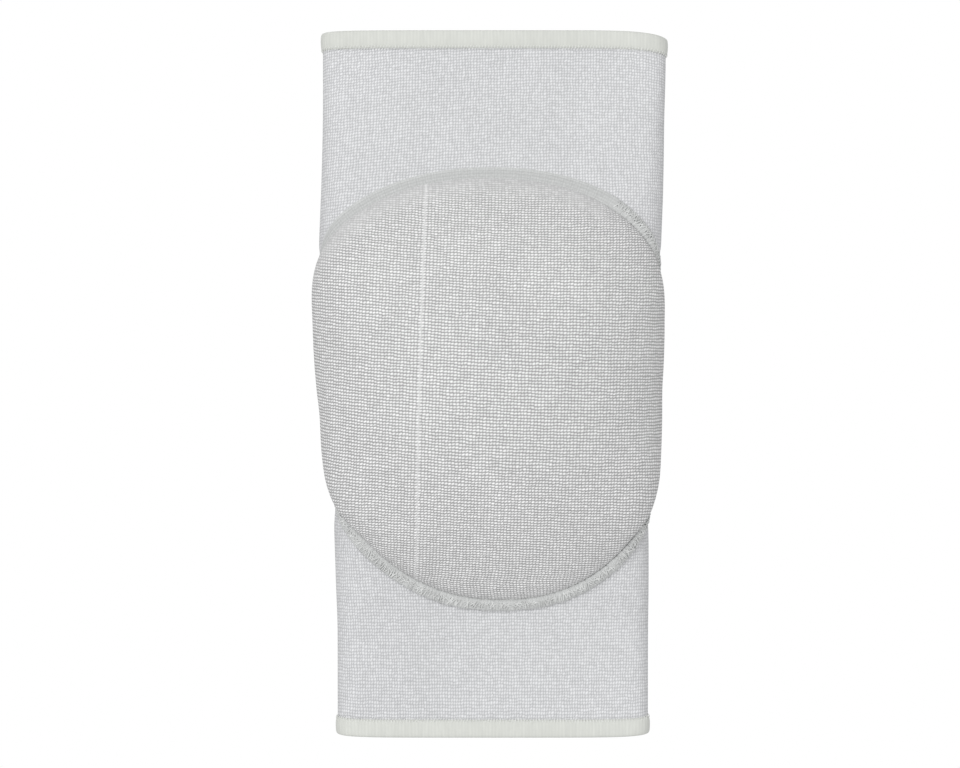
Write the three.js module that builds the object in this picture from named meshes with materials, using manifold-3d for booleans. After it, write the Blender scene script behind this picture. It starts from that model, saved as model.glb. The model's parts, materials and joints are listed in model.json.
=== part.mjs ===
// A slip-on volleyball knee pad, lying on its back with its ends half open, as it keeps its form on a table.
// Millimetres, +Z up. +Y points to the thigh end and +X to the right of someone who looks down on the pad.

import * as THREE from 'three';
import { mergeVertices } from 'three/addons/utils/BufferGeometryUtils.js';
import Module from 'manifold-3d';

// Driving sizes

const clearance = 0.3; // between pieces that touch

const sleeve = {
  length: 250, // with both hems
  wall: 1.6, // the knitted cloth
  thighWidth: 121.7, // across the sleeve as it lies, at the thigh end
  kneeWidth: 105.2, // under the middle of the pad, where the foam's arch pulls the sleeve in
  calfWidth: 111,
  thighHeight: 12.4, // outside height as it lies, without the hem
  kneeHeight: 34,
  calfHeight: 12,
};

const hem = {
  depth: 6.4, // along the sleeve
  leaf: 0.75, // thickness of the band on each side of the sleeve's cloth, where it is fullest
  nose: 0.9, // how thick its fold is, beyond the edge of the cloth
};

// How far the folded corners of the two ends draw back from the rest of the edge
const corner = { thighLeft: 0.6, thighRight: 2.4, calfLeft: 0.8, calfRight: 1 };
const cornerReach = 35; // how far along the sleeve that dies out
const cornerPower = 8; // more keeps it nearer the fold

const pad = {
  length: 146, // of the foam, along the sleeve
  width: 132.2, // of the foam at its middle, measured over the arch
  crown: 17, // foam thickness at the middle
  edge: 6, // foam thickness just inside its rounded rim
  towardsCalf: 1.6, // from the sleeve's middle to the pad's
  bow: 0.9, // how far the pad's two ends lie to the right of its middle
  skew: 2.35, // and how much further the calf end does, and the thigh end less
};

const cover = { thickness: 1.4 };

const seam = {
  width: 3, // across the overlocked ridge
  height: 2.2,
  sunk: 0.44, // how much of its round section the cloth below it cuts off
};

// Cross-sections of the sleeve, from the calf end (along 0) to the thigh end (along 1).
// pinch and rise: how far width and height have gone from that end's size to the knee's.
// side: radius of the rolled side, as a share of the height. lean: sideways shift, as a share of kneeWidth.
// lift: how much of the hem's thickness the sleeve's back is held off the table.
const sections = [
  { along: 0.0, pinch: 0.19, rise: 0.0, side: 0.46, lean: -0.001, lift: 1 },
  { along: 0.03, pinch: 0.15, rise: 0.0, side: 0.46, lean: -0.001, lift: 1 },
  { along: 0.15, pinch: 0.13, rise: 0.13, side: 0.45, lean: -0.001, lift: 0 },
  { along: 0.22, pinch: 0.02, rise: 0.34, side: 0.43, lean: -0.003, lift: 0 },
  { along: 0.29, pinch: -0.03, rise: 0.64, side: 0.4, lean: -0.006, lift: 0 },
  { along: 0.34, pinch: 0.4, rise: 0.81, side: 0.38, lean: -0.01, lift: 0 },
  { along: 0.4, pinch: 1.03, rise: 0.94, side: 0.36, lean: -0.01, lift: 0 },
  { along: 0.45, pinch: 1.12, rise: 0.98, side: 0.355, lean: -0.009, lift: 0 },
  { along: 0.5, pinch: 1.0, rise: 1.0, side: 0.35, lean: -0.013, lift: 0 },
  { along: 0.58, pinch: 0.8, rise: 0.96, side: 0.36, lean: -0.013, lift: 0 },
  { along: 0.65, pinch: 0.33, rise: 0.84, side: 0.38, lean: -0.013, lift: 0 },
  { along: 0.7, pinch: 0.04, rise: 0.68, side: 0.4, lean: -0.01, lift: 0 },
  { along: 0.78, pinch: 0.03, rise: 0.37, side: 0.43, lean: -0.003, lift: 0 },
  { along: 0.86, pinch: 0.03, rise: 0.14, side: 0.45, lean: 0.001, lift: 0 },
  { along: 0.97, pinch: 0.0, rise: 0.0, side: 0.46, lean: 0.004, lift: 1 },
  { along: 1.0, pinch: 0.0, rise: 0.0, side: 0.46, lean: 0.004, lift: 1 },
];

// One leaf of a hem, from its free edge to the fold.
// along: share of the hem's depth. out: share of the leaf's full thickness.
const hemLeaf = [
  { along: 0.0, out: 0.0 },
  { along: 0.0, out: 0.5 },
  { along: 0.15, out: 0.82 },
  { along: 0.5, out: 1.0 },
  { along: 0.8, out: 0.9 },
  { along: 0.944, out: 0.3 },
];

// Roundness of the pad's oval outline: 2 is an ellipse, more is squarer.
const ovalPower = 2.24;
// How much wider than a plain oval the outline is towards the thigh, and narrower towards the calf.
const ovalEgg = 0.115;
// How closely the foam's full thickness follows its rim: more is a tighter rounding.
const rimPower = 12;

// Fineness of the solids
const fine = {
  topSteps: 7, // on each half of a section's flatter top
  sideSteps: 5, // from there down to its widest point
  lowerSteps: 4, // on the rolled side below that
  backSteps: 2, // on each half of the flat back
  stations: 21, // along the sleeve, between the hems
  rays: 52, // around the pad and its seam
  domeRings: [0.25, 0.45, 0.62, 0.76, 0.86, 0.93, 0.97, 0.992, 1], // shares of the way out to the rim
  seamSides: 8,
  mapping: 8, // times finer than the sleeve itself, where the pad is laid over it
};

const wasm = await Module();
wasm.setup();

// Small helpers

const lerp = THREE.MathUtils.lerp;
const rad = THREE.MathUtils.degToRad;

// Reads one column of the table of sections at a place along the sleeve, on a smooth curve that never overshoots.
function column(name, along) {
  const last = sections.length - 1;
  const x = THREE.MathUtils.clamp(along, sections[0].along, sections[last].along);
  const i = Math.min(last - 1, sections.findLastIndex((row) => row.along <= x));
  const slope = (k) => (sections[k + 1][name] - sections[k][name]) / (sections[k + 1].along - sections[k].along);
  const tangent = (k) => {
    if (k === 0 || k === last) return 0;
    const [before, after] = [slope(k - 1), slope(k)];
    return before * after <= 0 ? 0 : (2 * before * after) / (before + after);
  };
  const step = sections[i + 1].along - sections[i].along;
  const t = (x - sections[i].along) / step;
  const from = sections[i][name] * (1 + 2 * t) * (1 - t) ** 2 + tangent(i) * step * t * (1 - t) ** 2;
  const to = sections[i + 1][name] * t * t * (3 - 2 * t) + tangent(i + 1) * step * t * t * (t - 1);
  return from + to;
}

// Closed geometry from loops of points: joined end to end, or capped by a fan at each end.
function loft(loops, caps = null) {
  const n = loops[0].length;
  const points = [...loops.flat(), ...(caps ?? [])];
  const triangles = [];
  const bands = caps ? loops.length - 1 : loops.length;
  for (let j = 0; j < bands; j++) {
    const near = j * n;
    const far = ((j + 1) % loops.length) * n;
    for (let k = 0; k < n; k++) {
      const next = (k + 1) % n;
      triangles.push(near + k, near + next, far + next, near + k, far + next, far + k);
    }
  }
  if (caps) {
    const first = loops.length * n;
    const lastLoop = (loops.length - 1) * n;
    for (let k = 0; k < n; k++) {
      const next = (k + 1) % n;
      triangles.push(first, next, k, first + 1, lastLoop + k, lastLoop + next);
    }
  }
  const geometry = new THREE.BufferGeometry().setFromPoints(points);
  geometry.setIndex(triangles);
  return facingOut(geometry);
}

// Turns the faces round if they point inwards.
function facingOut(geometry) {
  const p = geometry.getAttribute('position');
  const index = geometry.index.array;
  const [a, b, c] = [new THREE.Vector3(), new THREE.Vector3(), new THREE.Vector3()];
  let volume = 0;
  for (let i = 0; i < index.length; i += 3) {
    a.fromBufferAttribute(p, index[i]);
    b.fromBufferAttribute(p, index[i + 1]);
    c.fromBufferAttribute(p, index[i + 2]);
    volume += a.dot(b.cross(c));
  }
  if (volume < 0) {
    for (let i = 0; i < index.length; i += 3) [index[i + 1], index[i + 2]] = [index[i + 2], index[i + 1]];
  }
  return geometry;
}

function solidOf(geometry) {
  const merged = mergeVertices(geometry);
  return new wasm.Manifold(
    new wasm.Mesh({
      numProp: 3,
      vertProperties: new Float32Array(merged.getAttribute('position').array),
      triVerts: new Uint32Array(merged.index.array),
    }),
  );
}

function geometryOf(solid) {
  const { numProp, vertProperties, triVerts } = solid.getMesh();
  const positions = new Float32Array((vertProperties.length / numProp) * 3);
  for (let i = 0; i < positions.length / 3; i++) {
    positions.set(vertProperties.subarray(i * numProp, i * numProp + 3), i * 3);
  }
  const geometry = new THREE.BufferGeometry();
  geometry.setAttribute('position', new THREE.BufferAttribute(positions, 3));
  geometry.setIndex(Array.from(triVerts));
  return geometry;
}

function piece(name, geometry, material) {
  geometry.computeVertexNormals();
  const mesh = new THREE.Mesh(geometry, material);
  mesh.name = name;
  return mesh;
}

// The sleeve's form

const hemThickness = clearance + hem.leaf; // how far a hem stands out from the sleeve's cloth

// A section is a thin half-ellipse over a flat back, rolled round by the side radius.
function sectionAt(y) {
  const along = y / sleeve.length + 0.5;
  const [endWidth, endHeight] =
    along < 0.5 ? [sleeve.calfWidth, sleeve.calfHeight] : [sleeve.thighWidth, sleeve.thighHeight];
  const width = lerp(endWidth, sleeve.kneeWidth, column('pinch', along));
  const height = lerp(endHeight, sleeve.kneeHeight, column('rise', along));
  const side = height * column('side', along);
  return {
    y,
    side,
    half: width / 2,
    reach: width / 2 - side,
    camber: height - 2 * side,
    belt: hemThickness * column('lift', along) + side, // height of the widest point
    middle: sleeve.kneeWidth * column('lean', along),
  };
}

// Degrees above level at which a section's side ends and its flatter top begins.
const topBegins = 68;

// Point of the upper half where the surface faces the given angle above level, as { x, z, nx, nz } on the right side.
function upperPoint(section, angle) {
  const [nx, nz] = [Math.cos(angle), Math.sin(angle)];
  const spread = Math.hypot(section.reach * nx, section.camber * nz) || 1;
  return {
    x: (section.reach ** 2 * nx) / spread + section.side * nx,
    z: section.belt + (section.camber ** 2 * nz) / spread + section.side * nz,
    nx,
    nz,
  };
}

function lowerPoint(section, angle) {
  const [nx, nz] = [Math.cos(angle), -Math.sin(angle)];
  return { x: section.reach + section.side * nx, z: section.belt + section.side * nz, nx, nz };
}

// Facing angle of the upper half's point at a share of the way in from where the flatter top begins to the middle.
function topAngle(section, share) {
  const start = rad(topBegins);
  const begin = Math.cos(Math.atan2(section.camber * Math.sin(start), section.reach * Math.cos(start)));
  const turn = Math.acos(begin * (1 - share));
  return Math.atan2(section.reach * Math.sin(turn), section.camber * Math.cos(turn));
}

// The right half of a section, from the middle of the top round to the middle of the back.
function halfSection(section, finer = 1) {
  const shares = (steps) => Array.from({ length: steps * finer }, (_, i) => (i + 1) / (steps * finer));
  const back = section.belt - section.side;
  return [
    { x: 0, z: section.belt + section.camber + section.side, nx: 0, nz: 1 },
    ...shares(fine.topSteps).map((share) => upperPoint(section, topAngle(section, 1 - share))),
    ...shares(fine.sideSteps).map((share) => upperPoint(section, rad(topBegins) * (1 - share))),
    ...shares(fine.lowerSteps).map((share) => lowerPoint(section, (Math.PI / 2) * share)),
    ...shares(fine.backSteps).map((share) => ({ x: section.reach * (1 - share), z: back, nx: 0, nz: -1 })),
  ];
}

// Puts a point of a section in place: across the sleeve from the section's middle, at the section's height.
function inPlace(section, x, z) {
  const end = section.y > 0 ? 'thigh' : 'calf';
  const furthest = corner[end + (x > 0 ? 'Right' : 'Left')];
  const fold = Math.min(Math.abs(x) / section.half, 1) ** cornerPower;
  const nearness = THREE.MathUtils.smoothstep(Math.abs(section.y), sleeve.length / 2 - cornerReach, sleeve.length / 2);
  const back = furthest * fold * nearness;
  return new THREE.Vector3(section.middle + x, section.y - Math.sign(section.y) * back, z);
}

// One loop round the sleeve, the given distance outside its cloth.
function sleeveLoop(y, outside) {
  const section = sectionAt(y);
  const half = halfSection(section);
  const place = (p, hand) => inPlace(section, hand * (p.x + p.nx * outside), p.z + p.nz * outside);
  const right = half.map((p) => place(p, 1));
  const left = half.slice(1, -1).reverse().map((p) => place(p, -1));
  return [...right, ...left];
}

// Point at an arc distance from the middle of the top, to the right if positive, the given height off the cloth.
function onSleeve(arc, y, outside) {
  const section = sectionAt(y);
  const half = halfSection(section, fine.mapping);
  let ahead = Math.abs(arc);
  let i = 0;
  let length = 0;
  for (; i < half.length - 2; i++) {
    length = Math.hypot(half[i + 1].x - half[i].x, half[i + 1].z - half[i].z);
    if (ahead <= length) break;
    ahead -= length;
  }
  const [from, to, t] = [half[i], half[i + 1], Math.min(ahead / length, 1)];
  const normal = new THREE.Vector2(lerp(from.nx, to.nx, t), lerp(from.nz, to.nz, t)).normalize();
  const x = lerp(from.x, to.x, t) + normal.x * outside;
  return inPlace(section, Math.sign(arc) * x, lerp(from.z, to.z, t) + normal.y * outside);
}

// The sleeve: one wall of cloth, open at both ends

const clothEnd = sleeve.length / 2 - hem.nose - clearance; // where the cloth stops inside the hem

function stations() {
  const span = clothEnd - hem.depth;
  const inner = Array.from({ length: fine.stations }, (_, i) => lerp(-span, span, i / (fine.stations - 1)));
  return [-clothEnd, ...inner, clothEnd];
}

function sleeveGeometry() {
  const outer = stations().map((y) => sleeveLoop(y, 0));
  const inner = stations().reverse().map((y) => sleeveLoop(y, -sleeve.wall));
  return loft([...outer, ...inner]);
}

// The sleeve's outside grown by the clearance and filled: what lies on the sleeve is cut by it.
function sleeveEnvelope() {
  const loops = stations().map((y) => sleeveLoop(y, clearance));
  const middle = (y) => {
    const section = sectionAt(y);
    return new THREE.Vector3(section.middle, y, section.belt);
  };
  return solidOf(loft(loops, [middle(-clothEnd), middle(clothEnd)]));
}

// A hem: a band folded over the sleeve's edge, with a leaf outside the cloth and one inside it

function hemGeometry(end) {
  const tip = sleeve.length / 2;
  const outside = clearance;
  const inside = -sleeve.wall - clearance;
  const y = (row) => tip - hem.depth * (1 - row.along);
  const outerLeaf = hemLeaf.map((row) => ({ y: y(row), out: outside + hem.leaf * row.out }));
  const innerLeaf = hemLeaf.map((row) => ({ y: y(row), out: inside - hem.leaf * row.out })).reverse();
  const fold = { y: tip, out: (outside + inside) / 2 };
  const slot = [
    { y: clothEnd + clearance, out: inside },
    { y: clothEnd + clearance, out: outside },
  ];
  const profile = [...outerLeaf, fold, ...innerLeaf, ...slot];
  return loft(profile.map((p) => sleeveLoop(end * p.y, p.out)));
}

// The pad's oval outline, laid out flat over the arch: arc is across it and y along it

function outline(turn, grow) {
  const ease = (value) => Math.sign(value) * Math.abs(value) ** (2 / ovalPower);
  const at = (angle) => {
    const along = ease(Math.sin(angle));
    return new THREE.Vector2(
      (pad.width / 2) * ease(Math.cos(angle)) * (1 + ovalEgg * along) + pad.bow * along ** 2 - pad.skew * along,
      (pad.length / 2) * along - pad.towardsCalf,
    );
  };
  const small = 0.01;
  const edge = at(turn);
  const along = at(turn + small).sub(at(turn - small)).normalize();
  return edge.add(new THREE.Vector2(along.y, -along.x).multiplyScalar(grow));
}

const padMiddle = new THREE.Vector2(0, -pad.towardsCalf);

// Evenly spaced turns that miss the outline's four ends, where the ovals' slope is read from both sides
function turns() {
  return Array.from({ length: fine.rays }, (_, i) => ((i + 0.5) / fine.rays) * 2 * Math.PI);
}

// Foam thickness at a share of the way from the middle to the rim
function foamThickness(share) {
  return (pad.crown - pad.edge) * (1 - share ** 2) + pad.edge * Math.sqrt(1 - share ** rimPower);
}

// The dome over the sleeve, grown by some distance all over, with a skirt that ends inside the sleeve's cloth.
function domeSolid(grow) {
  const skirt = -sleeve.wall / 2;
  const small = 0.001;
  const loops = fine.domeRings.map((share) =>
    turns().map((turn) => {
      const rim = outline(turn, 0);
      const radius = rim.distanceTo(padMiddle);
      const run = radius * small;
      const fall = share === 1 ? Infinity : foamThickness(share) - foamThickness(share + small);
      const lean = share === 1 ? 1 : fall / Math.hypot(run, fall);
      const rimDirection = outline(turn, 1).sub(rim);
      const place = padMiddle.clone().lerp(rim, share).addScaledVector(rimDirection, grow * lean);
      const up = foamThickness(share) + grow * Math.sqrt(1 - lean ** 2);
      return onSleeve(place.x, place.y, up);
    }),
  );
  const skirtLoop = turns().map((turn) => {
    const rim = outline(turn, grow);
    return onSleeve(rim.x, rim.y, skirt);
  });
  const top = onSleeve(padMiddle.x, padMiddle.y, foamThickness(0) + grow);
  const bottom = onSleeve(padMiddle.x, padMiddle.y, skirt);
  return solidOf(loft([...loops, skirtLoop], [top, bottom]));
}

const envelope = sleeveEnvelope();

function foamGeometry() {
  return geometryOf(domeSolid(0).subtract(envelope));
}

function coverGeometry() {
  const inside = domeSolid(clearance);
  const outside = domeSolid(clearance + cover.thickness);
  return geometryOf(outside.subtract(inside).subtract(envelope));
}

// The overlocked ridge round the cover's rim, flat where it lies on the sleeve

function seamGeometry() {
  const grow = clearance + cover.thickness + clearance + seam.width / 2;
  const radius = (seam.height + seam.sunk) / 2;
  const middle = clearance + seam.height - radius;
  const loops = turns().map((turn) =>
    Array.from({ length: fine.seamSides }, (_, i) => {
      const angle = (i / fine.seamSides) * 2 * Math.PI;
      const place = outline(turn, grow + (seam.width / 2) * Math.cos(angle));
      return onSleeve(place.x, place.y, middle + radius * Math.sin(angle));
    }),
  );
  return geometryOf(solidOf(loft(loops)).subtract(envelope));
}

// Materials

const knit = new THREE.MeshStandardMaterial({ color: '#d6d8da', roughness: 0.9, metalness: 0 });
const hemKnit = new THREE.MeshStandardMaterial({ color: '#dcddd6', roughness: 0.85, metalness: 0 });
const coverKnit = new THREE.MeshStandardMaterial({ color: '#cfcfcf', roughness: 0.8, metalness: 0 });
const seamThread = new THREE.MeshStandardMaterial({ color: '#c6c8c6', roughness: 0.75, metalness: 0 });
const foam = new THREE.MeshStandardMaterial({ color: '#e4e0d4', roughness: 1, metalness: 0 });

// The knee pad

const kneePad = new THREE.Group();
kneePad.add(
  piece('sleeve', sleeveGeometry(), knit),
  piece('thigh_hem', hemGeometry(1), hemKnit),
  piece('calf_hem', hemGeometry(-1), hemKnit),
  piece('foam_pad', foamGeometry(), foam),
  piece('pad_cover', coverGeometry(), coverKnit),
  piece('pad_seam', seamGeometry(), seamThread),
);

// The origin is on the table, under the middle of the whole.
const box = new THREE.Box3().setFromObject(kneePad);
kneePad.position.set(-(box.min.x + box.max.x) / 2, -(box.min.y + box.max.y) / 2, -box.min.z);

const part = new THREE.Group();
part.add(kneePad);

export default part;
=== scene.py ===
# A slip-on volleyball knee pad, lying on its back: a knitted sleeve with ivory hems, and an oval foam pad
# under a coarser knitted cover, sewn on with an overlocked seam.
# Metres, +Z up, +Y towards the thigh end, +X to the right of someone who looks down on the pad.

import json
import math

import bpy
import numpy as np
from mathutils import Matrix, Vector

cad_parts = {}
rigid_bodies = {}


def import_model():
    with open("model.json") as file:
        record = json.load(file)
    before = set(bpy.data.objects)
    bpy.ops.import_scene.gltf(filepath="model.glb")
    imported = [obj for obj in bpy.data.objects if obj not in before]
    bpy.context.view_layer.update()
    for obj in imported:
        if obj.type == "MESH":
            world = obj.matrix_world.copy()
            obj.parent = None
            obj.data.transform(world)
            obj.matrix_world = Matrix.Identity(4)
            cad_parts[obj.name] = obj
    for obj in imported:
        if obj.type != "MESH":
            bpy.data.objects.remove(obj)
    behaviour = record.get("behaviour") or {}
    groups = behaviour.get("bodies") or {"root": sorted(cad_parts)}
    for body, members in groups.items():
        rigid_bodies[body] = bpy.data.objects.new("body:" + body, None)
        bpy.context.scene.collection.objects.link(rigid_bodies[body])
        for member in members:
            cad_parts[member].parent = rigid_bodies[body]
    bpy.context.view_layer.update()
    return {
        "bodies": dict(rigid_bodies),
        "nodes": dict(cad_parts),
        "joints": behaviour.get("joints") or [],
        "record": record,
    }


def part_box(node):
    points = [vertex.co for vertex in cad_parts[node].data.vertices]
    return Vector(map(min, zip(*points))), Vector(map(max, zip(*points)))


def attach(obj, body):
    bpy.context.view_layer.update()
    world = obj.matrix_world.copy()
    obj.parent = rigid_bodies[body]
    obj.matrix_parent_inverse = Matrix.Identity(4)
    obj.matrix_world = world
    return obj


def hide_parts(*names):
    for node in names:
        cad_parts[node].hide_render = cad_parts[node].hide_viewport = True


bl_info = {
    "name": "Knitted knee pad",
    "version": (1, 0, 0),
    "blender": (4, 5, 0),
    "location": "View3D > Sidebar > Knee Pad",
    "description": "Makes the cloth, seams, stitches and stage of a knitted volleyball knee pad",
    "category": "Add Mesh",
}

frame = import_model()
MM = 0.001

# Cross-sections of the sleeve, from the calf end (along 0) to the thigh end (along 1).
# pinch and rise: how far width and height have gone from that end's size to the knee's.
# side: radius of the rolled side, as a share of the height. lean: sideways shift, as a share of the knee's width.
# lift: how much of the hem's thickness the sleeve's back is held off the table.
SECTION_COLUMNS = ("along", "pinch", "rise", "side", "lean", "lift")
SECTIONS = (
    (0.00, 0.19, 0.00, 0.46, -0.001, 1),
    (0.03, 0.15, 0.00, 0.46, -0.001, 1),
    (0.15, 0.13, 0.13, 0.45, -0.001, 0),
    (0.22, 0.02, 0.34, 0.43, -0.003, 0),
    (0.29, -0.03, 0.64, 0.40, -0.006, 0),
    (0.34, 0.40, 0.81, 0.38, -0.010, 0),
    (0.40, 1.03, 0.94, 0.36, -0.010, 0),
    (0.45, 1.12, 0.98, 0.355, -0.009, 0),
    (0.50, 1.00, 1.00, 0.35, -0.013, 0),
    (0.58, 0.80, 0.96, 0.36, -0.013, 0),
    (0.65, 0.33, 0.84, 0.38, -0.013, 0),
    (0.70, 0.04, 0.68, 0.40, -0.010, 0),
    (0.78, 0.03, 0.37, 0.43, -0.003, 0),
    (0.86, 0.03, 0.14, 0.45, 0.001, 0),
    (0.97, 0.00, 0.00, 0.46, 0.004, 1),
    (1.00, 0.00, 0.00, 0.46, 0.004, 1),
)

# One leaf of a hem, from its free edge to the fold: share of the depth, share of the leaf's full thickness.
HEM_LEAF = (
    (0.000, 0.00),
    (0.005, 0.12),
    (0.030, 0.32),
    (0.080, 0.54),
    (0.170, 0.76),
    (0.310, 0.92),
    (0.500, 1.00),
    (0.720, 0.96),
    (0.850, 0.82),
    (0.925, 0.58),
    (0.970, 0.22),
)

# The seam round the pad, from its right side (0 degrees) by the thigh end (90): width, height, how far it laps over
# the cover's foot, and how much its inner side stands higher. Millimetres.
SEAM_ROUND = (
    (0, 3.5, 1.9, 0.6, 0.2),
    (38, 4.1, 2.0, 0.9, 0.3),
    (55, 4.9, 1.8, 1.2, 0.7),
    (75, 4.7, 1.4, 1.7, 1.3),
    (110, 4.4, 1.3, 1.8, 1.5),
    (130, 4.8, 1.3, 1.7, 1.4),
    (150, 4.6, 1.4, 1.6, 1.3),
    (175, 4.0, 1.5, 1.5, 0.5),
    (200, 4.6, 1.5, 1.4, 0.1),
    (215, 4.7, 1.8, 1.4, -0.2),
    (235, 4.7, 1.4, 1.2, -0.5),
    (255, 4.9, 1.4, 1.3, -0.5),
    (270, 4.7, 1.6, 1.4, -0.3),
    (300, 4.4, 2.0, 1.0, 0.5),
    (315, 4.1, 2.3, 1.1, 0.6),
    (326, 4.0, 2.6, 0.9, 0.3),
    (338, 3.8, 2.0, 0.8, 0.3),
)

TURNED_UNDER = (56, 160)  # degrees round the pad, between which the cover's edge is turned under, not overlocked
TURNED_UNDER_EASE = 9


# Sizes and colours that a user would change


def length(name, millimetres, description):
    return bpy.props.FloatProperty(
        name=name, description=description, default=millimetres * MM, min=0.0, unit="LENGTH", subtype="DISTANCE"
    )


def share(name, default, description):
    return bpy.props.FloatProperty(name=name, description=description, default=default, subtype="FACTOR")


def colour(name, rgb, description):
    return bpy.props.FloatVectorProperty(
        name=name, description=description, default=(*rgb, 1.0), size=4, min=0.0, max=1.0, subtype="COLOR"
    )


class SleeveSizes(bpy.types.PropertyGroup):
    length: length("Length", 250, "From hem to hem")
    wall: length("Cloth", 1.6, "Thickness of the knitted cloth")
    thigh_width: length("Thigh width", 121.7, "Width as it lies, at the thigh end")
    knee_width: length("Knee width", 105.2, "Width under the middle of the pad")
    calf_width: length("Calf width", 111, "Width as it lies, at the calf end")
    thigh_height: length("Thigh height", 12.4, "Height as it lies, at the thigh end, without the hem")
    knee_height: length("Knee height", 34, "Height of the arch under the pad")
    calf_height: length("Calf height", 12, "Height as it lies, at the calf end, without the hem")
    corner_reach: length("Corner reach", 35, "How far along the sleeve the drawn-back corners die out")


class HemSizes(bpy.types.PropertyGroup):
    depth: length("Depth", 6.4, "Along the sleeve")
    leaf: length("Leaf", 0.75, "Thickness of the band on each side of the cloth")
    gap: length("Gap", 0.3, "Room between the band and the cloth, which its own thickness leaves")
    nose: length("Nose", 0.9, "Thickness of the fold beyond the edge of the cloth")
    stitch: length("Stitch", 1.06, "From one hem stitch to the next")
    thread: length("Thread", 0.24, "Thickness of the sewing thread")


class PadSizes(bpy.types.PropertyGroup):
    length: length("Length", 146, "Of the foam, along the sleeve")
    width: length("Width", 132.2, "Of the foam, measured over the arch")
    crown: length("Crown", 17, "Foam thickness in the middle")
    edge: length("Edge", 6, "Foam thickness just inside its rounded rim")
    towards_calf: length("Towards the calf", 1.6, "From the sleeve's middle to the pad's")
    bow: length("Bow", 0.9, "How far both ends lie to the right of the middle")
    skew: length("Skew", 2.35, "How much further the calf end does, and the thigh end less")
    egg: share("Egg", 0.115, "How much wider the outline is towards the thigh than a plain oval")
    cover: length("Cover", 1.4, "Thickness of the knitted cover")
    gap: length("Gap", 0.3, "Room between the foam and the cover")
    bagging: length("Bagging", 1.3, "How far the cover bags out on both flanks towards the calf")


class SeamSizes(bpy.types.PropertyGroup):
    width: length("Width", 3.0, "Across the overlocked ridge")
    height: length("Height", 2.2, "Of the ridge above the cloth")
    stitch: length("Stitch", 1.35, "From one overlock loop to the next")
    thread: length("Thread", 0.46, "Thickness of the overlock thread")


class KnitSizes(bpy.types.PropertyGroup):
    cover_course: length("Cover course", 1.07, "From row to row of the cover's knit")
    cover_wale: length("Cover wale", 1.15, "From column to column of the cover's knit")
    thigh_course: length("Thigh course", 1.03, "From row to row of the sleeve's knit at the thigh end")
    calf_course: length("Calf course", 1.18, "From row to row of the sleeve's knit at the calf end")
    sleeve_wale: length("Sleeve wale", 1.03, "From column to column of the sleeve's knit at the thigh end")


class Colours(bpy.types.PropertyGroup):
    sleeve_yarn: colour("Sleeve yarn", (0.762, 0.768, 0.780), "Raised loops of the sleeve's knit")
    # The gap colour is the yarn darkened by painted shade, the shade that falls between the loops.
    sleeve_gap_shade: colour("Sleeve gap shade", (0.492, 0.496, 0.508), "Between the loops of the sleeve's knit")
    hem_yarn: colour("Hem", (0.628, 0.640, 0.604), "Turned ivory hems")
    hem_thread: colour("Hem thread", (0.80, 0.81, 0.79), "Stitches along the hems")
    cover_yarn: colour("Cover yarn", (0.93, 0.93, 0.932), "Raised loops of the cover's knit")
    # The gap colour is the yarn darkened by painted shade, the shade that falls between the loops.
    cover_gap_shade: colour("Cover gap shade", (0.38, 0.38, 0.381), "Between the loops of the cover's knit")
    seam_cloth: colour("Seam cloth", (0.585, 0.595, 0.59), "The ridge under the overlock thread")
    seam_thread: colour("Seam thread", (0.73, 0.74, 0.733), "Overlock thread")
    foam: colour("Foam", (0.80, 0.76, 0.68), "The moulded foam inside the cover")
    floor: colour("Floor", (0.6, 0.6, 0.6), "What the floor throws back on the pad")


SETTINGS = {
    "knee_pad_sleeve": SleeveSizes,
    "knee_pad_hem": HemSizes,
    "knee_pad_pad": PadSizes,
    "knee_pad_seam": SeamSizes,
    "knee_pad_knit": KnitSizes,
    "knee_pad_colours": Colours,
}


# The sleeve's form, which everything else lies on


def read_column(name, along):
    """One column of the table of sections at any place along the sleeve, on a smooth curve that never overshoots."""
    table = np.array(SECTIONS).T
    x, y = table[0], table[SECTION_COLUMNS.index(name)]
    slope = np.diff(y) / np.diff(x)
    before, after = slope[:-1], slope[1:]
    turning = before * after <= 0
    tangent = np.zeros(len(x))
    tangent[1:-1] = np.where(turning, 0, 2 * before * after / np.where(turning, 1, before + after))
    along = np.clip(along, x[0], x[-1])
    i = np.clip(np.searchsorted(x, along, side="right") - 1, 0, len(x) - 2)
    step = x[i + 1] - x[i]
    t = (along - x[i]) / step
    left = y[i] * (1 + 2 * t) * (1 - t) ** 2 + tangent[i] * step * t * (1 - t) ** 2
    right = y[i + 1] * t * t * (3 - 2 * t) + tangent[i + 1] * step * t * t * (t - 1)
    return left + right


def smooth_step(value, low, high):
    t = np.clip((value - low) / (high - low), 0, 1)
    return t * t * (3 - 2 * t)


def rise_and_fall(value, begins, ends):
    """1 between two soft edges, each a pair of values, and 0 outside them."""
    return smooth_step(value, *begins) * (1 - smooth_step(value, *ends))


def walk(points, axis=0):
    """How far each point is from the first, measured along the line through them."""
    steps = np.linalg.norm(np.diff(points, axis=axis), axis=-1)
    start = np.zeros_like(np.take(steps, [0], axis=axis))
    return np.cumsum(np.concatenate([start, steps], axis=axis), axis=axis)


def pairs(first, second):
    """A table of pairs, such as UVs, from two values that each may be a row or a column."""
    return np.stack(np.broadcast_arrays(first, second), axis=-1)


def grid(rows, columns):
    """Row and column of each cell of a table, in two lists."""
    return (v.ravel() for v in np.meshgrid(np.arange(rows), np.arange(columns), indexing="ij"))


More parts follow.
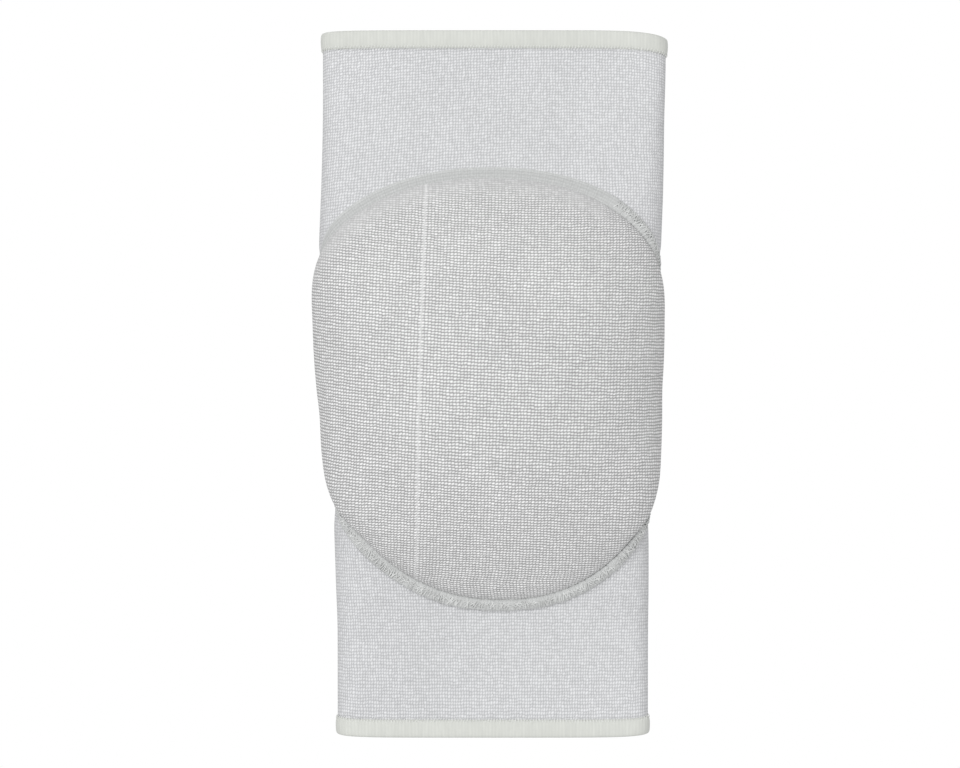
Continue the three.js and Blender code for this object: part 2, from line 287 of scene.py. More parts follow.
def between(table, row, column):
    """Values of a table at fractional rows and columns."""
    row, column = np.clip(row, 0, table.shape[0] - 1.0001), np.clip(column, 0, table.shape[1] - 1.0001)
    i, j = row.astype(int), column.astype(int)
    extra = (1,) * (table.ndim - 2)
    t, u = (row - i).reshape(row.shape + extra), (column - j).reshape(column.shape + extra)
    near = table[i, j] * (1 - u) + table[i, j + 1] * u
    far = table[i + 1, j] * (1 - u) + table[i + 1, j + 1] * u
    return near * (1 - t) + far * t


class SleeveForm:
    """The sleeve's outer cloth as it lies: a distance round from the middle of the top, a place along and a height off
    the cloth give a point in space."""

    round_step = 0.25 * MM
    along_step = 0.5 * MM
    top_begins = math.radians(68)  # where the flat top passes into the rolled side
    top_steps, shoulder_steps, side_steps, back_steps = 81, 49, 33, 13
    corner_power = 8
    corners = {("thigh", -1): 0.6 * MM, ("thigh", 1): 2.4 * MM, ("calf", -1): 0.8 * MM, ("calf", 1): 1.0 * MM}

    def __init__(self, scene):
        self.sleeve, self.hem = scene.knee_pad_sleeve, scene.knee_pad_hem
        self.length = self.sleeve.length
        self.y = np.arange(-self.length / 2, self.length / 2 + self.along_step / 2, self.along_step)
        self._measure_sections()
        self._trace_cloth()
        low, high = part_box("thigh_hem")
        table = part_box("sleeve")[0].z
        self.shift = np.array([(low.x + high.x) / 2 - self.middle[-1], high.y - self.length / 2, table])

    def _measure_sections(self):
        s = self.sleeve
        along = self.y / self.length + 0.5
        end_width = np.where(along < 0.5, s.calf_width, s.thigh_width)
        end_height = np.where(along < 0.5, s.calf_height, s.thigh_height)
        width = end_width + (s.knee_width - end_width) * read_column("pinch", along)
        height = end_height + (s.knee_height - end_height) * read_column("rise", along)
        self.side = height * read_column("side", along)
        self.half = width / 2
        self.reach = self.half - self.side
        self.camber = height - 2 * self.side
        self.belt = (self.hem.gap + self.hem.leaf) * read_column("lift", along) + self.side
        self.middle = s.knee_width * read_column("lean", along)

    def _trace_cloth(self):
        reach, camber, side, belt = (v[:, None] for v in (self.reach, self.camber, self.side, self.belt))
        begin = np.cos(np.arctan2(camber * math.sin(self.top_begins), reach * math.cos(self.top_begins)))
        every = np.ones((len(self.y), 1))
        turn = np.arccos(begin * np.linspace(0, 1, self.top_steps))
        top = np.arctan2(reach * np.sin(turn), camber * np.cos(turn))
        down = every * np.linspace(self.top_begins, 0, self.shoulder_steps)[1:]
        upper = np.concatenate([top, down], axis=1)
        nx, nz = np.cos(upper), np.sin(upper)
        spread = np.hypot(reach * nx, camber * nz)
        x = reach**2 * nx / spread + side * nx
        z = belt + camber**2 * nz / spread + side * nz
        lower = every * np.linspace(0, math.pi / 2, self.side_steps)[1:]
        back = every * np.linspace(1, 0, self.back_steps)[1:]
        x = np.concatenate([x, reach + side * np.cos(lower), reach * back], axis=1)
        z = np.concatenate([z, belt - side * np.sin(lower), (belt - side) * np.ones_like(back)], axis=1)
        nx = np.concatenate([nx, np.cos(lower), np.zeros_like(back)], axis=1)
        nz = np.concatenate([nz, -np.sin(lower), -np.ones_like(back)], axis=1)
        walked = walk(pairs(x, z), axis=1)
        self.half_round = walked[:, -1]
        stops = np.arange(0, self.half_round.max() + self.round_step, self.round_step)
        self.cloth = np.array(
            [[np.interp(stops, w, column[i]) for column in (x, z, nx, nz)] for i, w in enumerate(walked)]
        ).swapaxes(1, 2)

    def half_way_round(self, y):
        """Distance round from the middle of the top to the middle of the back."""
        return np.interp(y, self.y, self.half_round)

    def place(self, arc, y, out):
        arc, y, out = (np.asarray(v, float) for v in np.broadcast_arrays(arc, y, out))
        found = between(self.cloth, (y - self.y[0]) / self.along_step, np.abs(arc) / self.round_step)
        x, z, nx, nz = np.moveaxis(found, -1, 0)
        long = np.hypot(nx, nz)
        x = x + nx / long * out
        z = z + nz / long * out
        across = np.sign(arc) * x
        fold = np.minimum(x / np.interp(y, self.y, self.half), 1) ** self.corner_power
        nearness = smooth_step(np.abs(y), self.length / 2 - self.sleeve.corner_reach, self.length / 2)
        furthest = np.zeros_like(x)
        for (end, hand), back in self.corners.items():
            here = (y > 0) == (end == "thigh")
            furthest = np.where(here & ((across > 0) == (hand > 0)), back, furthest)
        along = y - np.sign(y) * furthest * np.maximum(fold, 0) * nearness
        return np.stack([np.interp(y, self.y, self.middle) + across, along, z], axis=-1) + self.shift


# The pad's form, laid out flat over the sleeve: x is the distance round and y the place along


class PadForm:
    """The foam's outline and thickness, and the cover over it."""

    oval_power = 2.24
    rim_power = 12
    share_steps, turn_steps = 4001, 6001
    small_turn = 0.01  # radians, to find which way the outline runs
    small_share = 0.0005  # to find how steeply the dome falls
    flank_begins, flank_ends = (2, 26), (32, 46)  # degrees towards the calf, where the cover bags out
    wall_begins, wall_ends = (0.7, 0.94), (0.985, 1)  # and shares of the way out to the rim
    seam_blur = 7  # degrees

    def __init__(self, scene):
        self.pad, self.seam = scene.knee_pad_pad, scene.knee_pad_seam
        self.sleeve_form = SleeveForm(scene)
        self.middle = np.array([0.0, -self.pad.towards_calf])

    def _edge(self, turn):
        def ease(value):
            return np.sign(value) * np.abs(value) ** (2 / self.oval_power)

        along = ease(np.sin(turn))
        wide = self.pad.width / 2 * ease(np.cos(turn)) * (1 + self.pad.egg * along)
        x = wide + self.pad.bow * along**2 - self.pad.skew * along
        return pairs(x, self.pad.length / 2 * along - self.pad.towards_calf)

    def outline(self, turn, grow=0.0):
        """A point of the outline, moved outwards by grow."""
        turn = np.asarray(turn, float)
        along = self._edge(turn + self.small_turn) - self._edge(turn - self.small_turn)
        along = along / np.linalg.norm(along, axis=-1, keepdims=True)
        out = pairs(along[..., 1], -along[..., 0])
        return self._edge(turn) + out * np.asarray(grow, float)[..., None]

    def thickness(self, share):
        share = np.minimum(share, 1)
        fall = (self.pad.crown - self.pad.edge) * (1 - share**2)
        return fall + self.pad.edge * np.sqrt(np.maximum(1 - share**self.rim_power, 0))

    def place(self, share, turn, grow):
        """A point of the dome grown all over by some distance, at a share of the way out to its rim."""
        rim = self._edge(turn)
        radius = np.linalg.norm(rim - self.middle, axis=-1)
        small = self.small_share
        inner = np.minimum(share, 1 - small)
        fall = self.thickness(inner) - self.thickness(inner + small)
        lean = np.where(share > 1 - small, 1, fall / np.hypot(radius * small, fall))
        across = self.outline(turn, 1.0) - rim
        spot = self.middle + (rim - self.middle) * share[..., None] + across * (grow * lean)[..., None]
        up = self.thickness(share) + grow * np.sqrt(np.maximum(1 - lean**2, 0))
        return self.over_sleeve(spot, up)

    def over_sleeve(self, spot, up):
        """A point of the flat layout, laid over the sleeve and so far off its cloth."""
        return self.sleeve_form.place(spot[..., 0], spot[..., 1], up)

    def bagging(self, share, turn):
        """How much further the cover stands off the foam on both flanks towards the calf, just above its foot."""
        below = np.degrees(np.arcsin(-np.sin(turn)))
        wall = rise_and_fall(share, self.wall_begins, self.wall_ends)
        return self.pad.bagging * rise_and_fall(below, self.flank_begins, self.flank_ends) * wall

    def even_shares(self, steps):
        """Shares of the way out that lie evenly along the dome's own slope."""
        fine = 1 - (1 - np.linspace(0, 1, self.share_steps)) ** 2
        walked = walk(pairs(fine * (self.pad.width + self.pad.length) / 4, self.thickness(fine)))
        return np.interp(steps * walked[-1], walked, fine)

    def even_turns(self, count, grow):
        """Turns that lie evenly along the outline."""
        fine = np.linspace(0, 2 * math.pi, self.turn_steps)
        walked = walk(self.outline(fine, grow))
        return np.interp(np.linspace(0, walked[-1], count, endpoint=False), walked, fine)

    def seam_turns(self, samples):
        """How many stitches go round the seam, and so many turns for each of them."""
        even = 2 * self.pad.gap + self.pad.cover + self.seam.width / 2
        length = walk(self.outline(np.linspace(0, 2 * math.pi, self.turn_steps), even))[-1]
        stitches = round(length / self.seam.stitch)
        return stitches, self.even_turns(stitches * samples, even)

    def seam_section(self, turn):
        """The seam's middle, beyond the foam's outline, and its width, height and tilt at some turn."""
        table = np.array(SEAM_ROUND).T
        fine = np.arange(0, 360, 0.5)
        blur = np.exp(-(((fine - 180) / self.seam_blur) ** 2))
        blur = np.fft.fft(np.fft.ifftshift(blur / blur.sum()))
        where = np.mod(np.degrees(turn), 360)
        values = []
        for column in table[1:]:
            plain = np.interp(fine, table[0], column, period=360)
            soft = np.real(np.fft.ifft(np.fft.fft(plain) * blur))
            values.append(np.interp(where, fine, soft, period=360) * MM)
        width, height, lap, tilt = values
        return 2 * self.pad.gap + self.pad.cover + width / 2 - lap, width, height, tilt


class KnitLay:
    """How far each point of the cover's outer face is from its drawn wale and from its middle row, measured over the
    dome itself. The cover is stretched across its slopes, where the wales lie further apart."""

    step = 0.25 * MM
    reach = 82 * MM
    turn_steps = 1441
    stretch = 0.5  # how much of the slope across the dome is taken up by stretch
    drawn_at, drawn_lean = -24.1 * MM, 0.024  # of the drawn wale, from the middle
    central = 45 * MM  # the drawn wale is looked for this near the middle

    def __init__(self, pad, grow):
        self.lines = np.arange(-self.reach, self.reach, self.step)
        x, y = np.meshgrid(self.lines, self.lines, indexing="xy")
        turns = np.linspace(0, 2 * math.pi, self.turn_steps)
        rim = pad.outline(turns) - pad.middle
        angle = np.unwrap(np.arctan2(rim[:, 1], rim[:, 0]))
        dx, dy = x - pad.middle[0], y - pad.middle[1]
        rim_here = np.interp(np.arctan2(dy, dx), angle, np.linalg.norm(rim, axis=1), period=2 * math.pi)
        share = np.hypot(dx, dy) / rim_here
        points = pad.over_sleeve(pairs(x, y), np.where(share < 1, pad.thickness(share), 0) + grow)
        across = (1 - self.stretch) * walk(points, 1) + self.stretch * points[..., 0]
        along = walk(points)
        central = np.abs(self.lines) < self.central
        drawn = [
            np.interp(self.drawn_at + self.drawn_lean * y, row[central, 0], counted[central])
            for y, row, counted in zip(self.lines, points, across)
        ]
        across = across - np.array(drawn)[:, None]
        along = along - along[np.argmin(np.abs(self.lines))][None, :]
        self.walked = pairs(across, along)

    def at(self, spot):
        row, column = ((spot[..., k] + self.reach) / self.step for k in (1, 0))
        return between(self.walked, row, column)


# Making meshes


def cloth_mesh(name, points, faces, corner_uvs, material):
    """A smooth-shaded piece from points, four-cornered faces and a stitch-counting UV map."""
    mesh = bpy.data.meshes.new(name)
    mesh.from_pydata(np.asarray(points).reshape(-1, 3).tolist(), [], np.asarray(faces).tolist())
    layer = mesh.uv_layers.new(name="stitches")
    layer.data.foreach_set("uv", np.asarray(corner_uvs, np.float32).ravel())
    mesh.polygons.foreach_set("use_smooth", [True] * len(mesh.polygons))
    mesh.materials.append(material)
    mesh.validate()
    piece = bpy.data.objects.new(name, mesh)
    bpy.context.scene.collection.objects.link(piece)
    return piece


def tube_mesh(name, points, uv, material, closed=True):
    """A piece from rings of points. If it is closed, the last ring joins the first, and otherwise both end rings are
    filled. The UV table is one column wider than the rings, and one row longer if the piece is closed."""
    rows, columns = points.shape[:2]
    i, j = grid(rows if closed else rows - 1, columns)
    row, column = np.stack([i, i, i + 1, i + 1], axis=1), np.stack([j, j + 1, j + 1, j], axis=1)
    piece = cloth_mesh(name, points, row % rows * columns + column % columns, uv[row, column], material)
    select_only(piece)
    bpy.ops.object.mode_set(mode="EDIT")
    if not closed:
        bpy.ops.mesh.select_all(action="DESELECT")
        bpy.ops.mesh.select_non_manifold()
        bpy.ops.mesh.fill_holes(sides=0)
    bpy.ops.mesh.select_all(action="SELECT")
    bpy.ops.mesh.normals_make_consistent(inside=False)
    bpy.ops.object.mode_set(mode="OBJECT")
    return piece


def select_only(piece):
    bpy.ops.object.select_all(action="DESELECT")
    piece.select_set(True)
    bpy.context.view_layer.objects.active = piece


def mark(piece, name, values):
    """Gives each point of a piece a value that its material reads."""
    piece.data.attributes.new(name, "FLOAT", "POINT").data.foreach_set("value", values.ravel())


def apply_modifier(piece, modifier):
    select_only(piece)
    bpy.ops.object.modifier_apply(modifier=modifier.name)


def hand_over(piece, slot, *nodes):
    """The piece rides with the knee pad and stands for the solids it covers. Its slot is not used."""
    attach(piece, "root")
    if nodes:
        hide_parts(*nodes)


# Materials


def add_node(tree, kind, inputs=None, **settings):
    """Adds a node: an input given as a socket is linked, and one given as a value is set."""
    made = tree.nodes.new(kind)
    for key, value in settings.items():
        setattr(made, key, value)
    for key, value in (inputs or {}).items():
        if isinstance(value, bpy.types.NodeSocket):
            tree.links.new(value, made.inputs[key])
        else:
            made.inputs[key].default_value = value
    return made


def maths(tree, operation, *values):
    return add_node(tree, "ShaderNodeMath", dict(enumerate(values)), operation=operation).outputs[0]


def vector_maths(tree, operation, *values):
    return add_node(tree, "ShaderNodeVectorMath", dict(enumerate(values)), operation=operation).outputs[0]


def remap(tree, value, low, high, to_low=0.0, to_high=1.0, curve="SMOOTHSTEP"):
    inputs = {"Value": value, "From Min": low, "From Max": high, "To Min": to_low, "To Max": to_high}
    return add_node(tree, "ShaderNodeMapRange", inputs, interpolation_type=curve).outputs["Result"]


def mix_values(tree, amount, first, second):
    """The first value, and the second by some amount."""
    return add_node(tree, "ShaderNodeMix", {0: amount, 2: first, 3: second}, data_type="FLOAT").outputs[0]


def mix_colours(tree, amount, first, second, blend="MIX"):
    inputs = {0: amount, 6: first, 7: second}
    return add_node(tree, "ShaderNodeMix", inputs, data_type="RGBA", blend_type=blend).outputs[2]


def new_material(name, roughness, sheen=0.0):
    material = bpy.data.materials.new(name)
    material.use_nodes = True
    tree = material.node_tree
    shader = tree.nodes["Principled BSDF"]
    shared = {"Specular IOR Level": 0.25, "Sheen Roughness": 0.5}
    for key, value in {"Roughness": roughness, "Sheen Weight": sheen, **shared}.items():
        shader.inputs[key].default_value = value
    return material, tree, shader


def stitch_uv(tree):
    """UV in stitches, and its split into X and Y."""
    uv = add_node(tree, "ShaderNodeUVMap", uv_map="stitches").outputs["UV"]
    return uv, add_node(tree, "ShaderNodeSeparateXYZ", {"Vector": uv}).outputs


def object_place(tree):
    return add_node(tree, "ShaderNodeTexCoord").outputs["Object"]


def read_mark(tree, name):
    return add_node(tree, "ShaderNodeAttribute", attribute_name=name).outputs["Fac"]


def ribs_along(tree, x, count):
    """Waves along X, so many for each stitch, from -1 to 1."""
    return maths(tree, "SINE", maths(tree, "MULTIPLY", x, 2 * math.pi * count))


def stitch_coordinates(tree, uv, wobble, size):
    """UV pushed about a little, so that no two rows are quite alike."""
    noise = add_node(tree, "ShaderNodeTexNoise", {"Vector": uv, "Scale": 1 / size, "Detail": 1.0})
    push = vector_maths(tree, "SUBTRACT", noise.outputs["Color"], (0.5, 0.5, 0.5))
    push = add_node(tree, "ShaderNodeVectorMath", {0: push, "Scale": wobble}, operation="SCALE").outputs[0]
    return vector_maths(tree, "ADD", uv, push)


def loop_pattern(tree, coordinates, slant, long, wide, soft=1.0):
    """One raised, slanted loop in each stitch: 1 on the loop's crest and 0 between the loops."""
    cell = vector_maths(tree, "FRACTION", coordinates)
    cell = vector_maths(tree, "SUBTRACT", cell, (0.5, 0.5, 0.0))
    turned = add_node(tree, "ShaderNodeVectorRotate", {"Vector": cell, "Angle": -slant}, rotation_type="Z_AXIS")
    flat = vector_maths(tree, "MULTIPLY", turned.outputs[0], (1 / long, 1 / wide, 0.0))
    far = add_node(tree, "ShaderNodeVectorMath", {0: flat}, operation="LENGTH").outputs["Value"]
    return remap(tree, far, 0.65 + 0.5 * soft, 0.65 - 0.5 * soft)


def stitch_shades(tree, coordinates, low):
    """A shade for each stitch, from low to 1."""
    whole = vector_maths(tree, "FLOOR", coordinates)
    chance = add_node(tree, "ShaderNodeTexWhiteNoise", {"Vector": whole}, noise_dimensions="2D").outputs["Value"]
    return remap(tree, chance, 0.0, 1.0, low, 1.0, "LINEAR")


def broad_shades(tree, size, low):
    """Slow changes of shade over the whole cloth, from low to 1."""
    noise = add_node(tree, "ShaderNodeTexNoise", {"Vector": object_place(tree), "Scale": 1 / size, "Detail": 2.0})
    return remap(tree, noise.outputs["Fac"], 0.3, 0.7, low, 1.0)


def darken(tree, tint, *shades):
    for shade in shades:
        grey = add_node(tree, "ShaderNodeCombineColor", {"Red": shade, "Green": shade, "Blue": shade}).outputs[0]
        tint = mix_colours(tree, 1.0, tint, grey, "MULTIPLY")
    return tint


def dress(tree, shader, tint, height, distance):
    """Sets the shader's colour, and raises its surface by a height that counts for some distance."""
    tree.links.new(tint, shader.inputs["Base Color"])
    bump = add_node(tree, "ShaderNodeBump", {"Height": height, "Distance": distance, "Strength": 1.0})
    tree.links.new(bump.outputs["Normal"], shader.inputs["Normal"])


def cover_knit(colours):
    """Coarse knit of the pad's cover: slanted bright loops in clear rows, with painted shade in the gaps between them
    and one drawn wale down the left. Where its edge is turned under it lies smooth, pulled taut, and painted shade
    darkens it."""
    material, tree, shader = new_material("cover_knit", roughness=0.82, sheen=0.1)
    uv, split = stitch_uv(tree)
    stitches = stitch_coordinates(tree, uv, wobble=0.75, size=2.8)
    loops = loop_pattern(tree, stitches, slant=math.radians(24), long=0.76, wide=0.48, soft=0.85)
    stretched_and_shaded = read_mark(tree, "stretched_and_shaded")
    loops = mix_values(tree, maths(tree, "MULTIPLY", stretched_and_shaded, 0.7), loops, 0.5)
    # Dark gaps between the loops: painted shade.
    tint = mix_colours(tree, loops, colours.cover_gap_shade, colours.cover_yarn)
    # Painted shade: the cover is up to 7 % darker towards its turned-under rim by the seam.
    tint = darken(tree, tint, remap(tree, stretched_and_shaded, 0.0, 1.0, 1.0, 0.93, "LINEAR"))
    drawn = remap(tree, maths(tree, "ABSOLUTE", split["X"]), 0.5, 0.1, 0.0, 0.5)
    tint = mix_colours(tree, drawn, tint, colours.cover_yarn)
    tint = darken(tree, tint, stitch_shades(tree, stitches, low=0.84), broad_shades(tree, size=30 * MM, low=0.96))
    dress(tree, shader, tint, loops, 0.26 * MM)
    return material


def sleeve_knit(colours):
    """Fine even knit of the sleeve, with painted shade in the gaps between its loops."""
    material, tree, shader = new_material("sleeve_knit", roughness=0.9, sheen=0.1)
    stitches = stitch_coordinates(tree, stitch_uv(tree)[0], wobble=0.95, size=3.0)
    loops = loop_pattern(tree, stitches, slant=math.radians(52), long=0.66, wide=0.48)
    # Dark gaps between the loops: painted shade.
    tint = mix_colours(tree, loops, colours.sleeve_gap_shade, colours.sleeve_yarn)
    tint = darken(tree, tint, stitch_shades(tree, stitches, low=0.87), broad_shades(tree, size=45 * MM, low=0.965))
    dress(tree, shader, tint, loops, 0.1 * MM)
    return material


def hem_knit(colours):
    """Smooth ivory band with the faint, uneven ribs of its fine knit."""
    material, tree, shader = new_material("hem_knit", roughness=0.85, sheen=0.15)
    uv, split = stitch_uv(tree)
    drawn_out = vector_maths(tree, "MULTIPLY", uv, (0.8, 0.12, 0.0))
    drift = add_node(tree, "ShaderNodeTexNoise", {"Vector": drawn_out, "Scale": 1.0, "Detail": 3.0}).outputs["Fac"]
    weave = maths(tree, "MULTIPLY", ribs_along(tree, split["X"], 0.9), drift)
    shade = remap(tree, weave, -0.6, 0.6, 0.95, 1.0, "LINEAR")
    streaks = remap(tree, drift, 0.32, 0.68, 0.93, 1.0, "LINEAR")
    tint = darken(tree, colours.hem_yarn, shade, streaks, broad_shades(tree, size=20 * MM, low=0.97))
    dress(tree, shader, tint, weave, 0.03 * MM)
    return material


def twisted_thread(name, tint, low=1.0):
    """Sewing thread with its twist. The shade of its stitches goes down to low."""
    material, tree, shader = new_material(name, roughness=0.6, sheen=0.1)
    inputs = {"Vector": object_place(tree), "Scale": 1400.0, "Distortion": 3.0}
    twist = add_node(tree, "ShaderNodeTexWave", inputs, bands_direction="DIAGONAL").outputs["Fac"]
    shade = remap(tree, twist, 0.0, 1.0, 0.88, 1.0)
    dress(tree, shader, darken(tree, tint, shade, broad_shades(tree, 3 * MM, low)), twist, 0.03 * MM)
    return material


def ridge_cloth(colours):
    """Knit edges gathered up under the overlock thread. Where the cover's edge is turned under, the band shows its
    knit and a painted highlight along its outer edge.
    """
    material, tree, shader = new_material("ridge_cloth", roughness=0.88, sheen=0.1)
    inputs = {"Vector": object_place(tree), "Scale": 1300.0, "Detail": 3.0, "Roughness": 0.6}
    fibres = add_node(tree, "ShaderNodeTexNoise", inputs).outputs["Fac"]
    shade = remap(tree, fibres, 0.3, 0.7, 0.86, 1.0)
    uv, split = stitch_uv(tree)
    ribs = remap(tree, ribs_along(tree, split["X"], 1.7), -1.0, 1.0, 0.95, 1.0)
    knit = loop_pattern(tree, vector_maths(tree, "MULTIPLY", uv, (1.26, 12.0, 0.0)), slant=0.3, long=0.7, wide=0.5)
    # Painted highlight: the turned band is lighter along its outer edge and 6 % darker over its top and inner side.
    painted_edge_highlight = remap(tree, split["Y"], 0.22, 0.06, 0.94, 1.02)
    knit = maths(tree, "MULTIPLY", remap(tree, knit, 0.0, 1.0, 0.9, 1.06, "LINEAR"), painted_edge_highlight)
    knit = mix_values(tree, read_mark(tree, "turned"), 1.0, knit)
    dress(tree, shader, darken(tree, colours.seam_cloth, shade, ribs, knit), fibres, 0.12 * MM)
    return material


def foam_skin(colours):
    """Moulded closed-cell foam."""
    material, tree, shader = new_material("foam_skin", roughness=0.95)
    inputs = {"Vector": object_place(tree), "Scale": 900.0}
    cells = add_node(tree, "ShaderNodeTexVoronoi", inputs).outputs["Distance"]
    shade = remap(tree, cells, 0.0, 0.7, 0.9, 1.0)
    dress(tree, shader, darken(tree, colours.foam, shade), cells, 0.1 * MM)
    return material


# Pieces


class KNEE_OT_sleeve(bpy.types.Operator):
    """Knit the sleeve: one wall of cloth, open at both ends"""

    bl_idname = "knee_pad.sleeve"
    bl_label = "Sleeve"

    around = 208
    stations = 170
    rise_slope, rise_bend = 0.04, 0.6  # how the courses lean and bend, from the knee on towards the thigh
    rise_begins, rise_ends = -60 * MM, 70 * MM

    def execute(self, context):
        scene = context.scene
        form = SleeveForm(scene)
        sleeve, hem, knit = scene.knee_pad_sleeve, scene.knee_pad_hem, scene.knee_pad_knit
        end = sleeve.length / 2 - hem.nose - hem.gap
        y = np.linspace(-end, end, self.stations)
        rows_y = np.concatenate([y, y[::-1]])
        out = np.concatenate([np.zeros(self.stations), np.full(self.stations, -sleeve.wall)])
        shares = np.linspace(-1, 1, self.around + 1)
        arc = shares[None, :] * form.half_way_round(rows_y)[:, None]
        points = form.place(arc[:, :-1], rows_y[:, None], out[:, None])
        uv = self.stitch_counts(form, knit, np.append(rows_y, rows_y[0]), shares)
        piece = tube_mesh("knitted_sleeve", points, uv, sleeve_knit(scene.knee_pad_colours))
        hand_over(piece, "sleeve_knit", "sleeve")
        return {"FINISHED"}

    def stitch_counts(self, form, knit, y, shares):
        """Wales keep their number from end to end. Courses are wider apart at the calf, and rise at the top left."""
        wales = shares[None, :] * form.half_round[-1] / knit.sleeve_wale
        widening = (knit.thigh_course - knit.calf_course) / form.length
        pitch = knit.calf_course + widening * (y + form.length / 2)
        courses = np.log(pitch / knit.calf_course)[:, None] / widening
        arc = shares[None, :] * form.half_way_round(y)[:, None]
        near_thigh = smooth_step(y, self.rise_begins, self.rise_ends)[:, None]
        rise = (self.rise_slope * arc - self.rise_bend * arc**2) * near_thigh
        return pairs(wales, courses - rise / pitch[:, None])


def hem_stitch_count(form, hem, end):
    """How many stitches go round a hem. The thigh end is 1 and the calf end -1."""
    return round(2 * float(form.half_way_round(end * form.length / 2)) / hem.stitch)


class KNEE_OT_hems(bpy.types.Operator):
    """Fold an ivory hem over each end of the sleeve"""

    bl_idname = "knee_pad.hems"
    bl_label = "Hems"

    samples = 4  # for each stitch
    pucker, pucker_reach = 0.1 * MM, 2.4 * MM
    skim = 0.05 * MM  # room between the cloth and the band's inner face
    slot_end = 0.15 * MM  # room beyond the cloth's edge, inside the fold
    corner_in, corner_down = 0.02 * MM, 0.35 * MM  # how the fold's corners are rounded off

    def execute(self, context):
        scene = context.scene
        form = SleeveForm(scene)
        material = hem_knit(scene.knee_pad_colours)
        hems = []
        for name, end, node in (("thigh_end_hem", 1, "thigh_hem"), ("calf_end_hem", -1, "calf_hem")):
            hems.append(self.fold(form, scene, name, end, material))
            hand_over(hems[-1], "hem_knit", node)
        return {"FINISHED"}

    def fold(self, form, scene, name, end, material):
        sleeve, hem = scene.knee_pad_sleeve, scene.knee_pad_hem
        tip = sleeve.length / 2
        outside, inside = self.skim, -sleeve.wall - self.skim
        leaf = [(tip - hem.depth * (1 - along), share * hem.leaf) for along, share in HEM_LEAF]
        outer = [(y, outside + raised) for y, raised in leaf]
        inner = [(y, inside - raised) for y, raised in reversed(leaf)]
        corner_y = tip - self.corner_in
        corners = [(corner_y, outside - self.corner_down), (corner_y, inside + self.corner_down)]
        nose = [corners[0], (tip, (outside + inside) / 2), corners[1]]
        slot_y = tip - hem.nose - self.slot_end
        profile = np.array(outer + nose + inner + [(slot_y, inside), (slot_y, outside)])
        stitches = hem_stitch_count(form, hem, end)
        around = stitches * self.samples
        shares = np.linspace(-1, 1, around + 1)
        y = end * profile[:, 0]
        arc = shares[None, :] * form.half_way_round(y)[:, None]
        drawn = self.draw_in(profile, tip - hem.depth, outside, inside, hem.leaf, shares, stitches)
        points = form.place(arc[:, :-1], y[:, None], (profile[:, 1:] + drawn)[:, :-1])
        walked = walk(profile)
        along = np.append(walked, walked[-1] + MM) / MM
        uv = pairs(shares[None, :] * stitches / 2, along[:, None])
        return tube_mesh(name, points, uv, material)

    def draw_in(self, profile, edge, outside, inside, thick, shares, stitches):
        """Each stitch draws the free edge of both leaves towards the cloth, which leaves a small puff between."""
        wave = 0.5 + 0.5 * np.cos(2 * math.pi * shares * stitches / 2)
        y, out = profile.T
        near_edge = 1 - smooth_step(y, edge, edge + self.pucker_reach)
        outer = smooth_step(out - outside, 0, 0.4 * thick)
        inner = smooth_step(inside - out, 0, 0.4 * thick)
        return -(near_edge * (outer - inner))[:, None] * (self.pucker * 2 * wave)[None, :]


class KNEE_OT_foam(bpy.types.Operator):
    """Mould the foam that the cover hides"""

    bl_idname = "knee_pad.foam"
    bl_label = "Foam"

    rays = 180
    rings = 44
    clear = 0.25 * MM  # off the sleeve's cloth

    def execute(self, context):
        scene = context.scene
        pad = PadForm(scene)
        shares = pad.even_shares(np.linspace(0, 1, self.rings + 1)[1:])
        turns = np.linspace(0, 2 * math.pi, self.rays, endpoint=False)
        every_share, every_turn = np.meshgrid(shares, turns, indexing="ij")
        top = pad.place(every_share, every_turn, 0 * every_share)
        flat = shares[::-1, None, None] * (pad.outline(turns) - pad.middle)[None] + pad.middle
        under = pad.over_sleeve(flat, self.clear)
        uv = np.zeros((2 * self.rings, self.rays + 1, 2))
        material = foam_skin(scene.knee_pad_colours)
        piece = tube_mesh("moulded_foam", np.concatenate([top, under[1:]]), uv, material, closed=False)
        hand_over(piece, "foam", "foam_pad")
        return {"FINISHED"}


